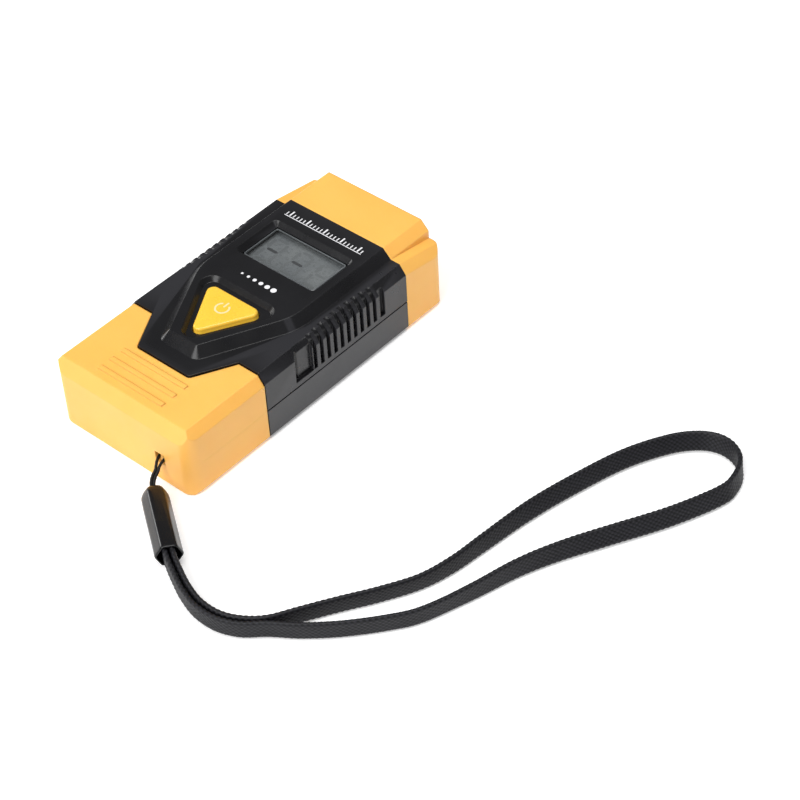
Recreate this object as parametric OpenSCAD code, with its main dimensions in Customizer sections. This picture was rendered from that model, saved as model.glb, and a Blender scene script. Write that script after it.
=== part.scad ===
// Pocket two-pin moisture meter with a pull-off pin cap, a pull-off battery cap and a wrist lanyard.
// Millimetres, +Z up. The origin is the middle of the underside of the closed case.
// X runs across the case, +Y points to the measuring pins, and the flat underside lies on Z = 0.

/* [Case] */
// width of the closed case
case_w = 40; // [38:0.5:60]
// length of the closed case, both caps on
case_l = 80; // [76:0.5:120]
// height of the raised panel above the underside
case_h = 20; // [18:0.5:30]
// height of the panel above the side shoulders
panel_rise = 2.2; // [1:0.1:4]
// height of the line where the two shells meet
split_h = 8.2; // [6:0.1:11]
// thickness of the moulded walls
wall = 1.6; // [1.2:0.1:2.4]
// width of the sloping edge between shoulder and side
edge_w = 1.7; // [0.5:0.1:4]
// height of the sloping edge between shoulder and side
edge_h = 2.3; // [0.5:0.1:4]
// width of the small bevel along the bottom edges
foot_bevel = 0.8; // [0.2:0.1:1.6]

/* [Raised panel] */
// width of the panel's flat top
panel_w = 27.4; // [24:0.2:36]
// how far the panel's sides slope outwards
panel_slope = 2.1; // [0.5:0.1:3]
// width of the panel's flat top at its pointed end
panel_tip_w = 8; // [4:0.2:14]
// height of the window recess below the panel top
window_drop = 1.2; // [0.6:0.1:1.6]
// width of the clear window
window_w = 21; // [14:0.2:24]
// length of the clear window
window_l = 11.2; // [8:0.2:14]

/* [Caps] */
// length of the pin cap
pin_cap_l = 12.6; // [10:0.1:18]
// length of the battery cap
bat_cap_l = 23; // [22:0.2:30]
// clearance between each cap and the part it slides over
cap_gap = 0.3; // [0.2:0.05:0.6]
// how far the battery cap's top lies below the shoulders
cap_step = 0.4; // [0:0.1:1]
// angle at which the pin cap's shoulders fall away towards the end
cap_fall = 9; // [0:1:14]
// radius of the caps' upright corners
cap_corner_r = 3.2; // [1:0.2:6]
// length of the tongue that reaches over the battery cap
tongue_l = 9.6; // [6:0.2:12]
// width of the tongue where it leaves the shoulders
tongue_w = 25.6; // [20:0.2:30]
// width of the tongue's free end
tongue_tip_w = 15; // [8:0.2:20]

/* [Grip] */
// number of grooves in each thumb grip
groove_n = 10; // [4:1:14]
// distance from one groove to the next
groove_pitch = 2.1; // [1.6:0.05:3]
// width of each groove
groove_w = 1.1; // [0.6:0.05:1.4]
// depth of each groove
groove_d = 1.1; // [0.6:0.05:1.2]
// depth of the plain pockets at the ends of each grip
pocket_d = 0.8; // [0.3:0.05:1]

/* [Button] */
// distance from the battery cap to the button's straight edge
key_y = 12.9; // [11:0.1:14]
// side of the button's triangle, measured to its sharp corners
key_side = 16.5; // [12:0.1:18]
// radius of the button's corners
key_r = 1.6; // [0.8:0.1:3]
// clearance around the button
key_gap = 0.3; // [0.2:0.05:0.5]
// how far the button can be pressed
key_travel = 0.4; // [0.2:0.05:0.6]

/* [Electrodes] */
// diameter of the measuring pins
pin_d = 1.5; // [1:0.1:2]
// distance between the two measuring pins
pin_pitch = 8; // [6:0.5:14]
// space between the tips of the measuring pins and the end of their cap
pin_room = 0.8; // [0.4:0.1:4]

/* [Power] */
// diameter of the coin cells
cell_d = 20; // [12:0.1:20]
// thickness of each coin cell
cell_h = 3.2; // [1.6:0.1:3.2]

/* [Lanyard] */
// diameter of the thin string
string_d = 0.6; // [0.5:0.05:0.8]
// width of the flat strap
strap_w = 4.4; // [3:0.1:4.4]
// thickness of the flat strap
strap_t = 1.2; // [0.8:0.1:1.2]
// outer diameter of the crimp tube
crimp_d = 6.2; // [6:0.1:8]

/* [Hidden] */
$fn = 48;

shoulder_h = case_h - panel_rise;
half_w = case_w / 2;
seam_pin = case_l / 2 - pin_cap_l;
seam_bat = -case_l / 2 + bat_cap_l;
cap_top = shoulder_h - cap_step;
cap_end = 2.2;                               // end wall of the battery cap
inset = wall + cap_gap;                      // from a cap's face to the spigot inside it
inner = inset + wall - 0.1;                  // from a cap's face to the spigot's own hollow
nose_end = seam_pin + 3;
nose_top = shoulder_h - 2.2 - inset;
tail_end = -case_l / 2 + cap_end + 0.6;
tail_top = cap_top - inset;
shadow = 0.35;                               // shadow line between the shells

tail_mid = (tail_top + inset) / 2;
cell_c = [0, tail_end + 0.3 + cell_d / 2];
cell_z = tail_mid - cell_h + 0.1;
cell_gap = 0.02;
stack_top = cell_z + 2 * cell_h + cell_gap;
leaf_t = 0.3;
slot_z0 = cell_z - leaf_t - 0.1;
slot_z1 = stack_top + leaf_t + 0.08;
tray_w = 2 * (half_w - inner - edge_w - 0.4);
tray_y1 = cell_c[1] + cell_d / 2 + 1.7;

screw_x = half_w - 4.4;
board_z = case_h - 8.9;
board_t = 1;
board_top = board_z + board_t;
board_w = 2 * (screw_x - 2.6);
board_y0 = max(tray_y1 + 1.8, seam_bat + 0.4);
board_y1 = seam_pin - 2.2;
board_screw = [board_w / 2 - 2.4, board_y0 + 2];
screw_y = [board_y0 + 2.2, seam_pin - 6.4];

lens_top = case_h - window_drop - 0.1;
ceiling = case_h - 1.8;
window_y = seam_pin - 13.6;
glass_w = window_w + 3;
glass_l = window_l + 3.6;
frame_wall = 0.85;

key_h = case_h + 0.1;
key_recess = 1.1;
key_ceiling = case_h - 2.6;
key_c = [0, seam_bat + key_y - key_side * sqrt(3) / 6];
switch_h = 3.2;
plunger_top = board_top + switch_h + 0.6;

pin_z = nose_top - 3.8;
bush_r = 1.6;
holder_y = seam_pin - 1.8;
pin_tip = case_l / 2 - wall - pin_room;

eye = [10.9, -case_l / 2, 6.4];              // middle of the lanyard hole
post_r = 0.5;
turn_r = post_r + string_d / 2 + 0.05;
eye_w = 2 * turn_r + string_d + 0.4;
eye_h = 2.6;
post_y = eye[1] + 0.9;

crimp_l = 19.3;
crimp_r = crimp_d / 2;
crimp_tip = [eye[0] + 2.8, eye[1] - 5.3, crimp_r + 0.05];
crimp_turn = -34.8;
crimp_dir = [cos(crimp_turn), sin(crimp_turn), 0];
crimp_side = [-sin(crimp_turn), cos(crimp_turn), 0];
strand = string_d / 2 + 0.05;
strap_z = strap_w / 2 + 0.05;
strap_side = strap_t / 2 + 0.15;

yellow = [0.96, 0.66, 0.18];
key_yellow = [0.98, 0.74, 0.12];
black = [0.10, 0.10, 0.115];

// ---- outlines and lofts ----

function unit(v) = v / norm(v);

// corners of a convex outline moved inwards by d
function shrink(c, d) = [for (i = [0 : len(c) - 1]) let (
    a = unit(c[(i + len(c) - 1) % len(c)] - c[i]), b = unit(c[(i + 1) % len(c)] - c[i]),
    h = acos(a * b) / 2) c[i] + unit(a + b) * d / sin(h)];

// a convex outline with corner i rounded to radius r[i] by n[i] steps
function rounded(c, r, n) = [for (i = [0 : len(c) - 1]) let (
    a = unit(c[(i + len(c) - 1) % len(c)] - c[i]), b = unit(c[(i + 1) % len(c)] - c[i]),
    h = acos(a * b) / 2, m = c[i] + unit(a + b) * r[i] / sin(h),
    s = atan2(-a[0], a[1]) + 180, sweep = 180 - 2 * h)
    for (k = [0 : n[i]]) m + r[i] * [cos(s + sweep * k / n[i]), sin(s + sweep * k / n[i])]];

function at_z(p, z) = [for (q = p) [q[0], q[1], z]];

// a solid through rings of equal count, bottom ring first
module loft(rings) {
    n = len(rings[0]);
    m = len(rings);
    polyhedron(points = [for (r = rings) each r], faces = concat(
        [[for (i = [0 : n - 1]) i]],
        [for (j = [0 : m - 2]) for (i = [0 : n - 1])
            [j * n + i, (j + 1) * n + i, (j + 1) * n + (i + 1) % n, j * n + (i + 1) % n]],
        [[for (i = [n - 1 : -1 : 0]) (m - 1) * n + i]]), convexity = 6);
}

// a bar along Y from y0 to y1 with its outline drawn in X and Z
module bar(y0, y1) translate([0, y1, 0]) rotate([90, 0, 0]) linear_extrude(y1 - y0) children();

// the case's cross-section, moved in by d, with its top at height t
module section(d, t) {
    w = half_w - d;
    f = foot_bevel;
    polygon([[-w + f, d], [w - f, d], [w, d + f], [w, t - edge_h], [w - edge_w, t],
        [-w + edge_w, t], [-w, t - edge_h], [-w, d + f]]);
}

module at_sides() for (s = [-1, 1]) scale([s, 1, 1]) children();

// an upright block with two rounded corners at its y0 end
module end_block(w, y0, y1, r, h) {
    translate([-w, y0 + r, -1]) cube([2 * w, y1 - y0 - r, h + 2]);
    translate([-w + r, y0, -1]) cube([2 * w - 2 * r, r + 1, h + 2]);
    for (s = [-1, 1]) translate([s * (w - r), y0 + r, -1]) cylinder(r = r, h = h + 2);
}

// a triangle pointing to -Y with sides of length side, as sharp corners
function triangle(centre, side) = [for (a = [30, 150, 270]) centre + side / sqrt(3) * [cos(a), sin(a)]];

// the button's outline, grown by g
module key_outline(g) {
    r = (key_r + g) * [1, 1, 1];
    polygon(rounded(shrink(triangle(key_c, key_side), -g), r, [8, 8, 8]));
}

// ---- shells ----

panel_foot = [
    [half_panel(), seam_pin + 6], [-half_panel(), seam_pin + 6],
    [-half_panel(), bend_y()], [-tip_x(), tip_y()], [tip_x(), tip_y()], [half_panel(), bend_y()]];
panel_r = [3, 3, 16, 2.4, 2.4, 16];
panel_n = [2, 2, 12, 4, 4, 12];

function half_panel() = panel_w / 2 + panel_slope;
function tip_y() = seam_bat - 5.4;
function tip_x() = panel_tip_w / 2 + 1.3;
function bend_y() = tip_y() + (half_panel() - tip_x()) / tan(27.2);

module panel() intersection() {
    loft([at_z(rounded(panel_foot, panel_r, panel_n), shoulder_h - 0.8),
        at_z(rounded(panel_foot, panel_r, panel_n), shoulder_h),
        at_z(rounded(shrink(panel_foot, panel_slope), [for (r = panel_r) r - panel_slope], panel_n),
            case_h)]);
    translate([-half_w, -case_l / 2, 0]) cube([case_w, seam_pin + case_l / 2, case_h + 1]);
}

// the tongue over the battery cap, grown by g
module tongue(g, z0, z1) {
    y0 = seam_bat - tongue_l - g;
    y1 = seam_bat + 2;
    a = tongue_tip_w / 2 + g;
    b = tongue_w / 2 + g;
    c = [[-a, y0], [a, y0], [b, seam_bat], [b, y1], [-b, y1], [-b, seam_bat]];
    translate([0, 0, z0]) linear_extrude(z1 - z0)
        polygon(rounded(c, [1.2, 1.2, 0.4, 0.4, 0.4, 0.4], [6, 6, 1, 1, 1, 1]));
}

// full outside of both shells together, caps off
module shells_outside() {
    bar(seam_bat, seam_pin) section(0, shoulder_h);
    bar(seam_pin - 1, nose_end) section(inset, nose_top);
    bar(tail_end, seam_bat + 1) section(inset, tail_top);
}

module shells_hollow() {
    bar(seam_bat + wall, seam_pin - wall) section(wall, shoulder_h - wall);
    bar(seam_pin - wall - 1, nose_end + 1) section(inner, nose_top - inner + inset);
    bar(tail_end - 1, seam_bat + wall + 1) section(inner, tail_top - inner + inset);
}

module half_space(z0, z1) translate([-half_w - 1, -case_l / 2 - 1, z0])
    cube([case_w + 2, case_l + 2, z1 - z0]);

// a groove of depth d from y0 to y1, curving from the side up on to the shoulder at x
module grip_cut(y0, y1, d, x) {
    xf = half_w - d;
    r = (xf - x) / (1 - sin(15));
    bar(y0, y1) polygon(concat([[x, shoulder_h + 1]],
        [for (a = [15 : 12.5 : 90]) [xf - r + r * sin(a), shoulder_h - r + r * cos(a)]],
        [[xf, split_h + 1.2], [half_w + 1, split_h + 1.2], [half_w + 1, shoulder_h + 1]]));
}

grip_y0 = seam_bat + 15.1 - groove_pitch / 2;
grip_y1 = grip_y0 + groove_n * groove_pitch;
grip_mid = (grip_y0 + grip_y1) / 2;
grip_x0 = half_w - 2.8;
function grip_x(y) = grip_x0 + 0.9 * pow((y - grip_mid) / (grip_y1 - grip_mid), 2);

// pockets and grooves of one thumb grip, on the +X side
module grip() {
    grip_cut(grip_y0 - 4, grip_y0 + 0.3, pocket_d, half_w - 1.8);
    translate([half_w, grip_y0 - 4, split_h + 1.2]) rotate([0, 0, 45])
        translate([-pocket_d, -pocket_d, 0]) cube([2 * pocket_d, 2 * pocket_d, shoulder_h - split_h]);
    for (i = [0 : groove_n - 1]) let (y = grip_y0 + (i + 0.5) * groove_pitch)
        grip_cut(y - groove_w / 2, y + groove_w / 2, groove_d, grip_x(y));
    grip_cut(grip_y1 + 0.6, grip_y1 + 2.2, pocket_d, half_w - 1.8);
}

module window_recess() {
    o = [for (p = [[1, 1], [-1, 1], [-1, -1], [1, -1]])
        [p[0] * (window_w / 2 + 1.2), window_y + p[1] * (window_l / 2 + 1.05)]];
    r = [1.3, 1.3, 1.3, 1.3];
    n = [6, 6, 6, 6];
    loft([at_z(rounded(shrink(o, 1.1), r - [1.1, 1.1, 1.1, 1.1], n), case_h - window_drop),
        at_z(rounded(o, r, n), case_h), at_z(rounded(o, r, n), case_h + 1)]);
}

module key_recess_cut() {
    o = triangle([0, key_c[1] + 0.35], key_side + 8);
    r = [2.9, 2.9, 2.9];
    n = [8, 8, 8];
    loft([at_z(rounded(shrink(o, 0.9), r - [0.9, 0.9, 0.9], n), case_h - key_recess),
        at_z(rounded(o, r, n), case_h), at_z(rounded(o, r, n), case_h + 1)]);
}

module upper_boss(x, y) translate([x, y, split_h])
    cylinder(r = 2.2, h = shoulder_h - wall - split_h + 0.5);

module upper_shell() color(black) difference() {
    union() {
        difference() {
            union() {
                intersection() {
                    shells_outside();
                    half_space(split_h, case_h + 1);
                }
                panel();
                tongue(0, tail_top - 0.5, shoulder_h);
            }
            shells_hollow();
            translate([-panel_w / 2, window_y - glass_l / 2 - frame_wall - 0.5, split_h])
                cube([panel_w, seam_pin - wall - window_y + glass_l / 2 + frame_wall + 0.5,
                    ceiling - split_h]);
            translate([0, 0, board_top + 1]) linear_extrude(key_ceiling - board_top - 1) key_outline(1.5);
            at_sides() grip();
        }
        at_sides() for (y = screw_y) upper_boss(screw_x, y);
    }
    window_recess();
    translate([-window_w / 2, window_y - window_l / 2, ceiling - 1]) cube([window_w, window_l, 3]);
    key_recess_cut();
    translate([0, 0, key_ceiling - 1]) linear_extrude(5) key_outline(key_gap);
    at_sides() for (y = screw_y) translate([screw_x, y, split_h - 1]) cylinder(r = 0.98, h = 6.6);
}

module lower_shell() color(black * 1.3) difference() {
    union() {
        difference() {
            intersection() {
                shells_outside();
                half_space(-1, split_h);
            }
            shells_hollow();
            at_sides() translate([half_w - 0.5, seam_bat - 1, split_h - shadow])
                cube([2, seam_pin - seam_bat + 2, shadow + 1]);
        }
        at_sides() for (y = screw_y) translate([screw_x, y, wall - 0.5])
            cylinder(r = 2.2, h = split_h - wall + 0.5);
        at_sides() for (y = [board_screw[1], board_y1 - 2]) translate([board_screw[0], y, wall - 0.5])
            cylinder(r = 1.6, h = board_z - wall + 0.5);
    }
    at_sides() for (y = screw_y) translate([screw_x, y, -1]) {
        cylinder(r = 1.15, h = split_h + 2);
        cylinder(r = 2.1, h = 1 + wall);
    }
    at_sides() translate([board_screw[0], board_screw[1], board_z - 5]) cylinder(r = 0.72, h = 6);
}

// ---- caps ----

module pin_cap() color(yellow) difference() {
    intersection() {
        union() {
            difference() {
                bar(seam_pin, case_l / 2) section(0, shoulder_h);
                translate([0, seam_pin, shoulder_h]) rotate([-cap_fall, 0, 0])
                    translate([-half_w - 1, -4, 0]) cube([case_w + 2, pin_cap_l + 10, 6]);
                at_sides() translate([half_w, seam_pin, shoulder_h - edge_h]) rotate([-cap_fall, 0, 0])
                    rotate([0, -atan(edge_w / edge_h), 0]) translate([0, -4, -3])
                        cube([6, pin_cap_l + 10, 12]);
            }
            bar(seam_pin, case_l / 2) polygon([[-half_panel(), wall], [half_panel(), wall],
                [half_panel(), shoulder_h], [panel_w / 2, case_h], [-panel_w / 2, case_h],
                [-half_panel(), shoulder_h]]);
        }
        scale([1, -1, 1]) end_block(half_w, -case_l / 2, -seam_pin, cap_corner_r, case_h);
    }
    bar(seam_pin - 1, case_l / 2 - wall) section(wall, nose_top + cap_gap);
    bar(seam_pin - 1, case_l / 2 - wall) polygon([[-panel_w / 2, wall], [panel_w / 2, wall],
        [panel_w / 2 - 1.2, case_h - wall], [-panel_w / 2 + 1.2, case_h - wall]]);
}

module lanyard_eye() difference() {
    translate([eye[0] - eye_w / 2, eye[1] - 1, eye[2] - eye_h / 2]) cube([eye_w, cap_end + 2, eye_h]);
    translate([eye[0], post_y, eye[2] - eye_h / 2 - 1]) cylinder(r = post_r, h = eye_h + 2);
}

module battery_cap() color(yellow) {
    difference() {
        intersection() {
            bar(-case_l / 2, seam_bat - 0.25) section(0, cap_top);
            end_block(half_w, -case_l / 2, seam_bat + 4, cap_corner_r, case_h);
        }
        translate([-half_w - 1, -case_l / 2, cap_top - 3.6]) rotate([-25, 0, 0])
            translate([0, -4, 0]) cube([case_w + 2, 4, 8]);
        bar(-case_l / 2 + cap_end, seam_bat + 1) section(wall, cap_top - wall);
        tongue(0.25, tail_top, case_h);
        lanyard_eye();
    }
    for (i = [0 : 2]) translate([-9.4, -case_l / 2 + 3.55 + 3.3 * i, cap_top - 0.3])
        cube([18.8, 1.2, 0.6]);
}

// ---- display ----

module lcd_lens() color([0.75, 0.8, 0.8, 0.35]) {
    translate([-glass_w / 2 + 0.1, window_y - glass_l / 2 + 0.1, ceiling - 0.95])
        cube([glass_w - 0.2, glass_l - 0.2, 0.9]);
    translate([-window_w / 2 + 0.15, window_y - window_l / 2 + 0.1, ceiling - 0.3])
        cube([window_w - 0.3, window_l - 0.2, lens_top - ceiling + 0.3]);
}

module lcd_panel() color([0.55, 0.6, 0.56])
    translate([-glass_w / 2 + 0.1, window_y - glass_l / 2 + 0.1, ceiling - 2.95])
        cube([glass_w - 0.2, glass_l - 0.2, 1.9]);

module lcd_frame() color([0.85, 0.85, 0.82]) difference() {
    translate([-glass_w / 2 - frame_wall, window_y - glass_l / 2 - frame_wall, board_top])
        cube([glass_w + 2 * frame_wall, glass_l + 2 * frame_wall, ceiling - 0.1 - board_top]);
    translate([-glass_w / 2, window_y - glass_l / 2, board_top - 1]) cube([glass_w, glass_l, 10]);
}

module zebra_strips() color([0.35, 0.35, 0.38]) for (s = [-1, 1])
    translate([-glass_w / 2 + 1, window_y + s * (glass_l / 2 - 0.9) - 0.7, board_top])
        cube([glass_w - 2, 1.4, ceiling - 2.95 - board_top]);

// ---- button and switch ----

module button() color(key_yellow) {
    translate([0, 0, key_ceiling - 0.4]) linear_extrude(key_h - key_ceiling + 0.1) key_outline(0);
    translate([0, 0, key_h - 0.31]) linear_extrude(0.31) key_outline(-0.3);
    translate([0, 0, key_ceiling - 1]) linear_extrude(0.8) key_outline(1.1);
    translate([key_c[0], key_c[1], plunger_top + 0.05]) cylinder(r = 2.2, h = key_ceiling - 0.6 - plunger_top);
}

module switch_body() color([0.12, 0.12, 0.12]) difference() {
    translate([-3, key_c[1] - 3, board_top]) cube([6, 6, switch_h - 0.2]);
    translate([0, key_c[1], board_top + 0.7]) cylinder(r = 1.8, h = switch_h);
}

module switch_cover() color([0.78, 0.78, 0.8]) difference() {
    translate([-3, key_c[1] - 3, board_top + switch_h - 0.2]) cube([6, 6, 0.2]);
    translate([0, key_c[1], board_top]) cylinder(r = 1.8, h = switch_h + 1);
}

module switch_plunger() color([0.85, 0.2, 0.15]) translate([0, key_c[1], board_top + 0.7 + key_travel + 0.1])
    cylinder(r = 1.75, h = plunger_top - board_top - 0.8 - key_travel);

// ---- electronics ----

module circuit_board() color([0.05, 0.32, 0.16]) difference() {
    translate([-board_w / 2, board_y0, board_z]) cube([board_w, board_y1 - board_y0, board_t]);
    at_sides() translate([board_screw[0], board_screw[1], board_z - 1]) cylinder(r = 0.9, h = board_t + 2);
}

module chip_cover() color([0.04, 0.04, 0.04]) intersection() {
    translate([0, 7, board_z + 6]) sphere(r = 7.6, $fn = 64);
    translate([-6, 1, board_z - 4]) cube([12, 12, 4]);
}

module board_parts() color([0.65, 0.55, 0.4]) {
    for (i = [0 : 3]) translate([-9.5, -6 + 3.4 * i, board_z - 0.6]) cube([1.8, 1, 0.6]);
    for (i = [0 : 3]) translate([7.7, -6 + 3.4 * i, board_z - 0.6]) cube([1.8, 1, 0.6]);
    translate([-3, -6.5, board_z - 1.2]) cube([5, 4.2, 1.2]);
    translate([-8.5, -8.5, board_top]) cube([1.8, 1, 0.6]);
    translate([6.7, -8.5, board_top]) cube([1.8, 1, 0.6]);
}

// ---- electrodes ----

module pin_holder() color([0.14, 0.14, 0.15]) difference() {
    bar(holder_y, nose_end) section(inner + 0.2, nose_top - inner + inset - 0.2);
    for (s = [-1, 1]) translate([s * pin_pitch / 2, holder_y - 1, pin_z]) rotate([-90, 0, 0])
        cylinder(r = bush_r + 0.02, h = nose_end - holder_y + 2);
}

module pin_bushings() color([0.8, 0.65, 0.3]) for (s = [-1, 1])
    translate([s * pin_pitch / 2, holder_y, pin_z]) rotate([-90, 0, 0]) difference() {
        cylinder(r = bush_r, h = nose_end - holder_y + 0.6);
        translate([0, 0, -1]) cylinder(r = pin_d / 2 + 0.02, h = 10);
    }

module electrode(x) color([0.75, 0.75, 0.77]) translate([x, holder_y, pin_z]) rotate([-90, 0, 0]) {
    len = pin_tip - holder_y;
    cylinder(r = pin_d / 2, h = len - 2.2);
    translate([0, 0, len - 2.2]) cylinder(r1 = pin_d / 2, r2 = 0.08, h = 2.2);
}

module electrode_left() electrode(-pin_pitch / 2);
module electrode_right() electrode(pin_pitch / 2);

module pin_contact(x) color([0.85, 0.7, 0.4]) translate([x - 1.2, 0, 0]) {
    translate([0, holder_y - leaf_t, pin_z - 1.3]) cube([2.4, leaf_t, board_z - pin_z + 1.3]);
    translate([0, board_y1 - 3, board_z - leaf_t]) cube([2.4, holder_y - board_y1 + 3, leaf_t]);
}

module pin_contact_left() pin_contact(-pin_pitch / 2);
module pin_contact_right() pin_contact(pin_pitch / 2);

// ---- battery compartment ----

module battery_tray() color([0.16, 0.16, 0.17]) difference() {
    translate([-tray_w / 2, tail_end + 0.2, inner + 0.2])
        cube([tray_w, tray_y1 - tail_end - 0.2, tail_top - 2 * inner + inset - 0.5]);
    translate([-cell_d / 2 - 0.25, tail_end - 1, slot_z0])
        cube([cell_d + 0.5, cell_c[1] - tail_end + 1, slot_z1 - slot_z0]);
    translate([0, cell_c[1], slot_z0]) cylinder(r = cell_d / 2 + 0.25, h = slot_z1 - slot_z0);
    translate([-6.2, cell_c[1], slot_z0]) cube([3.4, 20, leaf_t + 0.1]);
    translate([2.8, cell_c[1], slot_z1 - leaf_t - 0.1]) cube([3.4, 20, leaf_t + 0.1]);
}

module cell(z) color([0.78, 0.78, 0.8]) translate([cell_c[0], cell_c[1], z]) {
    cylinder(r = cell_d / 2 - 1.2, h = cell_h);
    translate([0, 0, 0.25]) cylinder(r = cell_d / 2, h = cell_h - 0.25);
}

module cell_lower() cell(cell_z);
module cell_upper() cell(cell_z + cell_h + cell_gap);

module negative_contact() color([0.8, 0.78, 0.7]) {
    y1 = board_y0 - 1.4;
    translate([-6, cell_c[1] - 4, slot_z0]) cube([3, y1 - cell_c[1] + 4, leaf_t]);
    translate([-4.5, cell_c[1] - 2, slot_z0]) cylinder(r = 1, h = leaf_t + 0.1);
    translate([-6, y1 - leaf_t, slot_z0]) cube([3, leaf_t, board_z - slot_z0]);
    translate([-6, y1 - leaf_t, board_z - leaf_t]) cube([3, 3, leaf_t]);
}

// a leaf over the upper cell, a riser in front of the board's edge and a foot on the board
module positive_contact() color([0.8, 0.78, 0.7]) {
    y1 = board_y0 - 0.4;
    low = min(slot_z1 - leaf_t, board_top);
    high = max(slot_z1, board_top + leaf_t);
    translate([3.4, cell_c[1] - 4, slot_z1 - leaf_t]) cube([2.6, y1 - cell_c[1] + 4, leaf_t]);
    translate([4.5, cell_c[1] - 2, stack_top]) cylinder(r = 1, h = leaf_t);
    translate([3.4, y1 - leaf_t, low]) cube([2.6, leaf_t, high - low]);
    translate([3.4, y1 - leaf_t, board_top]) cube([2.6, leaf_t + 2, leaf_t]);
}

// ---- screws ----

module housing_screws() color([0.7, 0.7, 0.72]) at_sides() for (y = screw_y)
    translate([screw_x, y, 0.4]) difference() {
        union() {
            cylinder(r = 1.9, h = wall - 0.4);
            cylinder(r = 0.95, h = split_h + 3.6);
        }
        for (a = [0, 90]) rotate([0, 0, a]) translate([-1.1, -0.25, -1]) cube([2.2, 0.5, 1.6]);
    }

module board_screws() color([0.7, 0.7, 0.72]) at_sides()
    translate([board_screw[0], board_screw[1], 0]) difference() {
        union() {
            translate([0, 0, board_top]) cylinder(r = 1.4, h = 0.9);
            translate([0, 0, board_z - 4]) cylinder(r = 0.7, h = board_t + 4.2);
        }
        for (a = [0, 90]) rotate([0, 0, a]) translate([-0.9, -0.2, board_top + 0.5]) cube([1.8, 0.4, 1]);
    }

// ---- lanyard ----

// point on a smooth curve through the route p, u counted in route points
function curve(p, u) = let (i = min(floor(u), len(p) - 2), t = u - i,
    a = p[max(i - 1, 0)], b = p[i], c = p[i + 1], d = p[min(i + 2, len(p) - 1)])
    0.5 * (2 * b + (c - a) * t + (2 * a - 5 * b + 4 * c - d) * t * t + (3 * b - a - 3 * c + d) * t * t * t);

round_ring = [for (a = [22.5 : 45 : 360]) [cos(a), sin(a)] / cos(22.5)];
flat_ring = [[1, 0.45], [0.6, 1], [-0.6, 1], [-1, 0.45], [-1, -0.45], [-0.6, -1], [0.6, -1], [1, -0.45]];

// a cord along a smooth route, w by t across, with an eight-sided ring at every step;
// its width stands upright, leaning over by tilt towards the far end of the lanyard
module cord(route, w, t, ring, per, tilt) {
    m = (len(route) - 1) * per;
    path = [for (i = [0 : m]) curve(route, i / per)];
    loft([for (i = [0 : m]) let (
        f = unit(path[min(i + 1, m)] - path[max(i - 1, 0)]),
        k = tilt * min(1, max(0, (path[i][1] - 5) / 25)),
        s = unit(cross(f, [k, -k, 1])), v = cross(s, f))
        [for (q = ring) path[i] + s * q[1] * t / 2 + v * q[0] * w / 2]]);
}

function in_crimp(s, side) = crimp_tip + s * crimp_dir + side * crimp_side;

// a point where the lanyard lies, which moves with the end of the case
function laid(x, y, z = strap_z) = [eye[0] + x - 10.9, eye[1] + y + 40, z];

// the string's two strands run side by side between the crimp tube and the lanyard hole
string_mid = [[12.8, -44.5, 3.8], [12.3, -43.5, 4.6], [12.1, -42.4, 5.3], [11.7, -41.6, 5.8],
    [11.3, -40.6, 6.2]];
string_gap = [1, 1, 1, 1.1, 1.7];
function string_at(i, side) = laid(string_mid[i][0], string_mid[i][1], string_mid[i][2])
    + side * strand * string_gap[i] * [0.95, 0.3, 0];

string_route = concat(
    [for (s = [6.5, 3, 0]) in_crimp(s, -strand)],
    [for (i = [0 : 4]) string_at(i, -1)],
    [for (a = [180 : -30 : 0]) [eye[0] + turn_r * cos(a), post_y + turn_r * sin(a), eye[2]]],
    [for (i = [4 : -1 : 0]) string_at(i, 1)],
    [for (s = [0, 3, 6.5]) in_crimp(s, strand)]);

// the strap's two ends lie side by side next to the crimp tube, then open into the loop
pair_mid = [[35, -59.2, 2.6], [39, -60.9, 2.3], [43.5, -62.1, strap_z], [48.5, -62, strap_z],
    [53, -60.2, strap_z], [57, -56.8, strap_z]];
function pair_at(i, side) = let (d = unit(pair_mid[min(i + 1, 5)] - pair_mid[max(i - 1, 0)]))
    laid(pair_mid[i][0], pair_mid[i][1], pair_mid[i][2]) + side * strap_side * unit([-d[1], d[0], 0]);

strap_route = concat(
    [for (s = [8.5, crimp_l]) in_crimp(s, strap_side)],
    [for (i = [0 : 5]) pair_at(i, 1)],
    [for (p = [[60, -50.5], [64, -44], [68.5, -37], [72.5, -29.5], [74.5, -22], [75.5, -13.5], [77, -1],
        [79.5, 10.5], [83, 22.5], [87.5, 31.5], [91.5, 36.2], [95.5, 38.3], [99.5, 38], [103, 35.5],
        [104.8, 31], [104.5, 26], [100, 15], [93.5, 3], [88.5, -6.5], [85, -15], [82, -25.5], [78.5, -35.5],
        [75, -41], [69, -48], [63, -53.5]]) laid(p[0], p[1])],
    [for (i = [5 : -1 : 0]) pair_at(i, -1)],
    [for (s = [crimp_l, 8.5]) in_crimp(s, -strap_side)]);

module lanyard_string() color([0.07, 0.07, 0.08]) cord(string_route, string_d, string_d, round_ring, 2, 0);

module wrist_strap() color([0.13, 0.13, 0.15]) cord(strap_route, strap_w, strap_t, flat_ring, 2, 0.55);

module lanyard_crimp() color([0.12, 0.12, 0.14]) translate(crimp_tip) rotate([0, 90, crimp_turn]) difference() {
    union() {
        translate([0, 0, crimp_r]) cylinder(r = crimp_r, h = crimp_l - crimp_r);
        intersection() {
            translate([0, 0, crimp_r]) sphere(r = crimp_r);
            cylinder(r = crimp_r + 1, h = crimp_r + 0.1);
        }
    }
    translate([0, 0, 7.5]) cylinder(r = crimp_r - 0.42, h = crimp_l);
    translate([0, 0, -1]) cylinder(r = 0.9, h = 10);
}

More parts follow.
